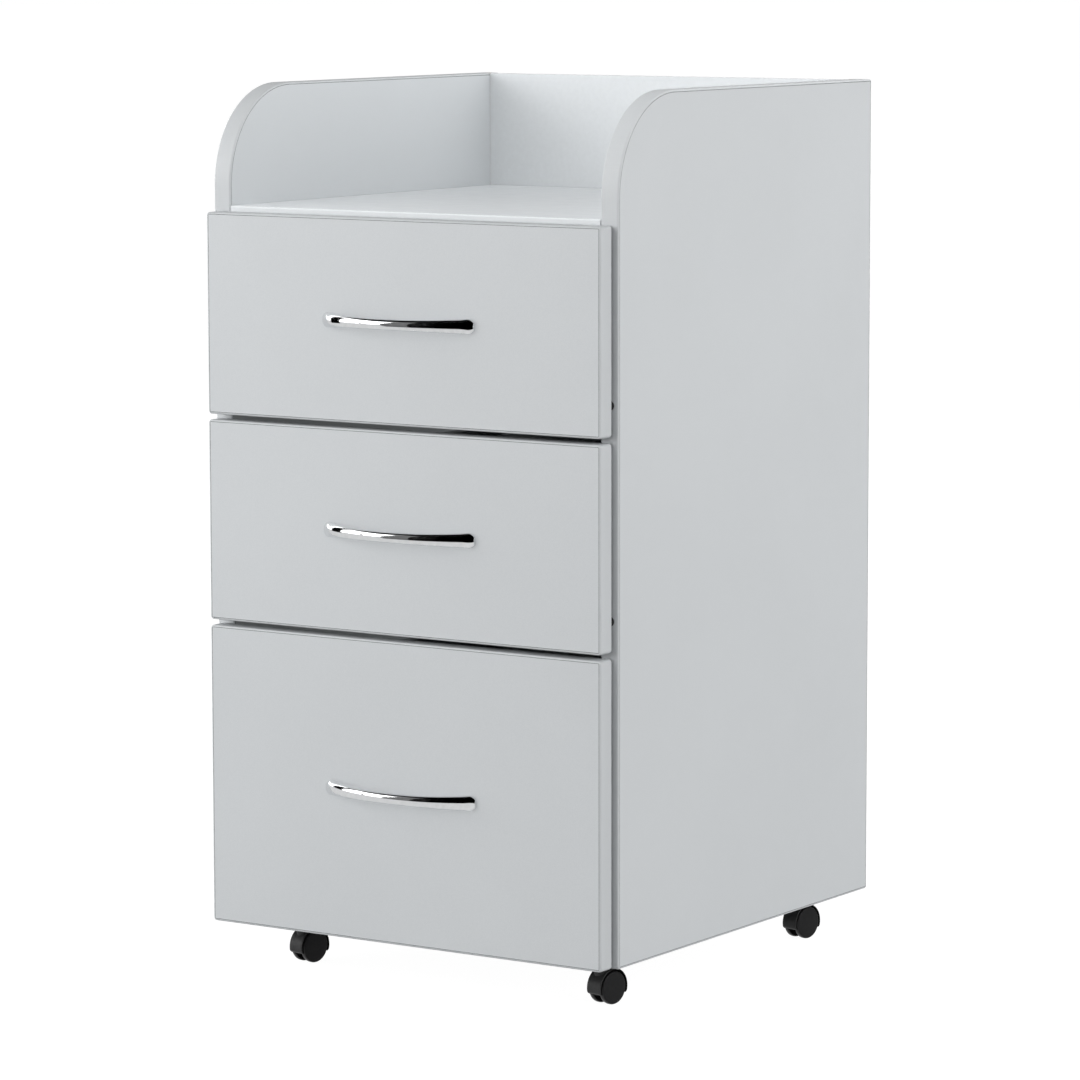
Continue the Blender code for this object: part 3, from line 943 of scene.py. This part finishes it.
def hood_radius(degrees):
    """The hood's outer radius at an angle: it rounds in towards both ends of the arc."""
    inner = HOOD_R - HOOD_WALL
    to_end = max(0, min(degrees - HOOD_ARC[0], HOOD_ARC[1] - degrees))
    near = max(0, 1 - to_end / HOOD_END)
    return inner + HOOD_WALL * math.sqrt(1 - 0.9 * near**2)


def hood_bm():
    """The hood in the caster's own frame: an arched band with rounded rims, a middle web and a boss."""
    inner, half, soft = HOOD_R - HOOD_WALL, HOOD_HALF, HOOD_SOFT
    cross = [(inner, -half + 0.25 * MM), (inner + 0.25 * MM, -half)]
    for a in quarter_turn(4):
        cross.append((HOOD_R - soft + soft * math.sin(a), -half + soft - soft * math.cos(a)))
    cross += [(r, -x) for r, x in reversed(cross)]
    # Strips 1, the caps, the web and the cut faces take the near-black rim plastic: painted shade on the
    # sides and inside of the hood.
    strips = [1, 1] + [0] * (len(cross) - 5) + [1, 1, 1]
    bm = bmesh.new()
    rings = []
    for i in range(-2, HOOD_STEPS + 3):
        # The two rings before the start and after the end close the band with a small rounding.
        share = min(max(i, 0), HOOD_STEPS) / HOOD_STEPS
        degrees = HOOD_ARC[0] + (HOOD_ARC[1] - HOOD_ARC[0]) * share
        angle = math.radians(degrees)
        thin = (hood_radius(degrees) - inner) / HOOD_WALL
        shrink = 1.0
        if i < 0 or i > HOOD_STEPS:
            k = (-i if i < 0 else i - HOOD_STEPS) / 2
            angle += (-1 if i < 0 else 1) * 0.028 * math.sin(k * math.pi / 2)
            shrink = 1 - 0.28 * (1 - math.cos(k * math.pi / 2))
        mid = inner + thin * HOOD_WALL / 2
        ring = []
        for r, across in cross:
            r = mid + (inner + (r - inner) * thin - mid) * shrink
            y, z = TRAIL + r * math.cos(angle), WHEEL_R + r * math.sin(angle)
            ring.append(bm.verts.new((across * (1 - (1 - shrink) * 0.12), y, z)))
        rings.append(ring)
    for first, second in zip(rings, rings[1:]):
        stitch(bm, first, second, strips)
    cap(bm, rings[0][::-1], 1)
    cap(bm, rings[-1], 1)

    line = []
    for i in range(WEB_STEPS + 1):
        degrees = WEB_ARC[0] + (WEB_ARC[1] - WEB_ARC[0]) * i / WEB_STEPS
        mid_r = (inner + hood_radius(degrees)) / 2
        a = math.radians(degrees)
        line.append((TRAIL + mid_r * math.cos(a), WHEEL_R + mid_r * math.sin(a)))
    web = bmesh.new()
    ends = [[web.verts.new((x, *p)) for p in line] for x in (-WEB_HALF, WEB_HALF)]
    cap(web, ends[0], 1)
    cap(web, ends[1][::-1], 1)
    stitch(web, ends[0], ends[1], 1)
    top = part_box("caster_fl_plate")[1].z - PLATE_THICK - RACE_HIGH - FIT
    boss = bmesh.new()
    revolved(boss, [
        (0.0, 22 * MM), (BOSS_R, 22 * MM), (BOSS_R, top - 0.5 * MM), (BOSS_R - 0.5 * MM, top), (0.0, top),
    ], Matrix.Identity(4), 40)
    sideways = facing((1, 0, 0), Vector((0, TRAIL, WHEEL_R)))
    room = []
    for side in (-1, 1):
        xs = sorted((side * WEB_HALF, side * (HOOD_HALF + 5 * MM)))
        tool = bmesh.new()
        revolved(tool, [(0.0, xs[0]), (inner, xs[0]), (inner, xs[1]), (0.0, xs[1])], sideways, 72)
        for face in tool.faces:
            face.material_index = 1
        room.append(("DIFFERENCE", tool))
    socket = bmesh.new()
    deep, past = top - SOCKET_DEEP, top + 10 * MM
    revolved(socket, [(0.0, deep), (SOCKET_R, deep), (SOCKET_R, past), (0.0, past)], Matrix.Identity(4), 32)
    bore = bmesh.new()
    end = 20 * MM
    revolved(bore, [(0.0, -end), (BORE_R, -end), (BORE_R, end), (0.0, end)], sideways, 24)
    bm = carved(bm, ("UNION", boss), *room, ("UNION", web), ("DIFFERENCE", socket), ("DIFFERENCE", bore))
    shade_smooth(bm, 38)
    return bm


def wheel_bm(sign):
    """A wheel in the caster's own frame: a shallow domed disc, a rim with a fine step, and a tread."""
    out, inn, r = WHEEL_OUT, WHEEL_IN, WHEEL_R
    blind = WHEEL_OUT - 1.6 * MM + FIT
    profile = [
        (0.0, out + 0.2 * MM), (4 * MM, out + 0.18 * MM), (8 * MM, out + 0.1 * MM),
        (11.6 * MM, out - 0.05 * MM), (12.2 * MM, out - 0.14 * MM), (12.6 * MM, out - 0.32 * MM),
        (12.9 * MM, out - 0.6 * MM), (13.12 * MM, out - 1.0 * MM), (r, out - 1.5 * MM), (r, inn + 0.9 * MM),
        (13.1 * MM, inn + 0.45 * MM), (12.8 * MM, inn + 0.12 * MM), (12.4 * MM, inn), (11.4 * MM, inn),
        (11.2 * MM, inn + 0.6 * MM), (4.4 * MM, inn + 0.6 * MM), (4.2 * MM, inn), (BORE_R, inn),
        (BORE_R, blind), (0.0, blind),
    ]
    # The wheel's inner face and bore take the near-black rim plastic: painted shade in the gap between the
    # two wheels.
    strips = [0] * 5 + [1] * 7 + [2] * 7
    bm = bmesh.new()
    revolved(bm, profile, facing((sign, 0, 0), Vector((0, TRAIL, WHEEL_R))), 72, strips)
    sharpen(bm, 40)
    return bm


def casters():
    for name in ("caster_fl", "caster_fr", "caster_rl", "caster_rr"):
        low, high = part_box(name + "_plate")
        x, y = (low.x + high.x) / 2, (low.y + high.y) / 2
        caster_plate(name + "_plate", x, y)
        move = Matrix.Translation((x, y, 0)) @ Matrix.Rotation(TURN, 4, "Z")
        bm = hood_bm()
        bmesh.ops.transform(bm, matrix=move, verts=bm.verts)
        piece(name + "_hood_shell", bm, [HOOD_PLASTIC, RIM_PLASTIC_PAINTED_SHADE], name, [name + "_hood"])
        for side, sign in SIDES:
            bm = wheel_bm(sign)
            bmesh.ops.transform(bm, matrix=move, verts=bm.verts)
            part = f"{name}_wheel_{side}"
            looks = [WHEEL_PLASTIC, TREAD_PLASTIC, RIM_PLASTIC_PAINTED_SHADE]
            piece(part + "_disc", bm, looks, part, [part], weighted=False)
        axle = frame["nodes"][name + "_axle"]
        axle.material_slots[0].material = PIN_STEEL


body_boards()
for index in (1, 2, 3):
    drawer(index)
bumpers()
casters()


# ------------------------------------------------------------------ floor, light and camera
def stage_object(name, bm, grey, emission, seen_by):
    """A matt grey stage object that gives off white light and shows to one kind of ray."""
    look = Look(name, (grey, grey, grey), 0.9, specular=0.0)
    look.set("Emission Color", (1, 1, 1, 1))
    look.set("Emission Strength", emission)
    obj = mesh_object(name, bm, [look.material])
    obj.visible_camera = seen_by == "camera"
    obj.visible_diffuse = seen_by == "diffuse"
    obj.visible_glossy = seen_by == "glossy"
    return obj


def floor(name, z, grey, emission, seen_by):
    """One of three floors: a white one for the eye, one that bounces light and one for reflections."""
    bm = bmesh.new()
    bmesh.ops.create_grid(bm, x_segments=8, y_segments=8, size=60, matrix=Matrix.Translation((0, 0, z)))
    stage_object(name, bm, grey, emission, seen_by)


def screen(name, rows, tone=0.0, seen_by="glossy"):
    """A studio screen from rows of points: dark or grey for reflections, or white for the eye. No shadow."""
    bm = bmesh.new()
    made = [[bm.verts.new(p) for p in row] for row in rows]
    for first, second in zip(made, made[1:]):
        for i in range(len(first) - 1):
            bm.faces.new([first[i], first[i + 1], second[i + 1], second[i]])
    obj = stage_object(name, bm, 0.0, tone, seen_by)
    obj.visible_shadow = obj.visible_transmission = False


def around(start, end, distance, z, steps=24):
    """Points on an arc round the object. Azimuth 0 is the front, 90 the right side."""
    angles = [math.radians(start + (end - start) * i / steps) for i in range(steps + 1)]
    return [(distance * math.sin(a), -distance * math.cos(a), z) for a in angles]


def softbox(name, azimuth, distance, height, size, power, target_z=0.4, only=()):
    """A rectangular light aimed at the object. Where only names pieces, it lights no others."""
    data = bpy.data.lights.new(name, "AREA")
    data.shape = "RECTANGLE"
    data.size, data.size_y = size
    data.energy = power
    obj = linked(name, data)
    location = Vector(around(azimuth, azimuth, distance, height, 1)[0])
    obj.location = location
    obj.rotation_euler = (Vector((0, 0, target_z)) - location).to_track_quat("-Z", "Y").to_euler()
    obj.visible_camera = False
    if only:
        lit = bpy.data.collections.new(name + "_lights")
        for piece_name in only:
            lit.objects.link(bpy.data.objects[piece_name])
        obj.light_linking.receiver_collection = obj.light_linking.blocker_collection = lit


def world(strength):
    made = bpy.data.worlds.new("studio")
    bpy.context.scene.world = made
    made.use_nodes = True
    back = made.node_tree.nodes["Background"]
    back.inputs["Color"].default_value = (1, 1, 1, 1)
    back.inputs["Strength"].default_value = strength


def camera():
    """The photograph's camera, looking down a little from the front right."""
    yaw, pitch, roll = CAMERA_YAW, CAMERA_PITCH, CAMERA_ROLL
    data = bpy.data.cameras.new("camera")
    data.sensor_width, data.lens = SENSOR, LENS
    data.clip_start, data.clip_end = 0.1, 200
    obj = linked("camera", data)
    level = Vector((-math.sin(yaw), math.cos(yaw), 0))
    up = Vector((0, 0, 1))
    forward = level * math.cos(pitch) - up * math.sin(pitch)
    above = up * math.cos(pitch) + level * math.sin(pitch)
    right = forward.cross(above)
    c, s = math.cos(roll), math.sin(roll)
    right, above = right * c + above * s, above * c - right * s
    turn = Matrix((right, above, -forward)).transposed().to_4x4()
    obj.matrix_world = Matrix.Translation(CAMERA_AT) @ turn
    bpy.context.scene.camera = obj


floor("floor", z=0.0, grey=0.12, emission=0.97, seen_by="camera")
floor("floor_bounce", z=-0.0005, grey=0.60, emission=0.0, seen_by="diffuse")
floor("floor_reflected", z=-0.001, grey=0.10, emission=0.72, seen_by="glossy")

SCREEN_AT, DOME_R = 1.7, 2.4
screen("backdrop", [around(0, 360, 50, z, 48) for z in (-1, 80)], 1.0, "camera")
screen("dark_front", [around(-17, 75, SCREEN_AT, z) for z in (0.0, 1.9)])
screen("grey_front", [around(-32, -17, SCREEN_AT, z) for z in (0.0, 1.9)], 0.16)
screen("dark_left", [around(-81, -68, SCREEN_AT, z) for z in (0.2, 1.5)])
screen("dark_top", [
    around(-120, 70, DOME_R * math.cos(e), 0.4 + DOME_R * math.sin(e))
    for e in (math.radians(d) for d in range(42, 79, 4))
])

world(0.36)
softbox("left_softbox", azimuth=-72, distance=4.0, height=1.6, size=(3.6, 2.8), power=74)
softbox("front_softbox", azimuth=-26, distance=4.2, height=1.5, size=(3.4, 2.4), power=112)
softbox("right_softbox", azimuth=98, distance=4.0, height=1.5, size=(3.4, 2.8), power=114)
softbox("rear_softbox", azimuth=182, distance=4.0, height=1.4, size=(2.2, 2.4), power=55)
# The tray is lit evenly by softboxes that light only some of its boards.
for name, azimuth, distance, height, size, power, lit in (
    ("tray_softbox", 30, 1.55, 2.83, 1.4, 44, ("back_panel_sheet", "top_shelf_board")),
    ("wall_softbox", 92, 2.2, 2.25, 1.2, 13, ("side_left_board",)),
    ("rim_softbox", 60, 0.4, 2.9, 1.2, 13, ("side_right_board",)),
):
    softbox(name, azimuth, distance, height, (size, size), power, target_z=0.65, only=lit)
camera()
bpy.context.scene.view_settings.view_transform = "Standard"
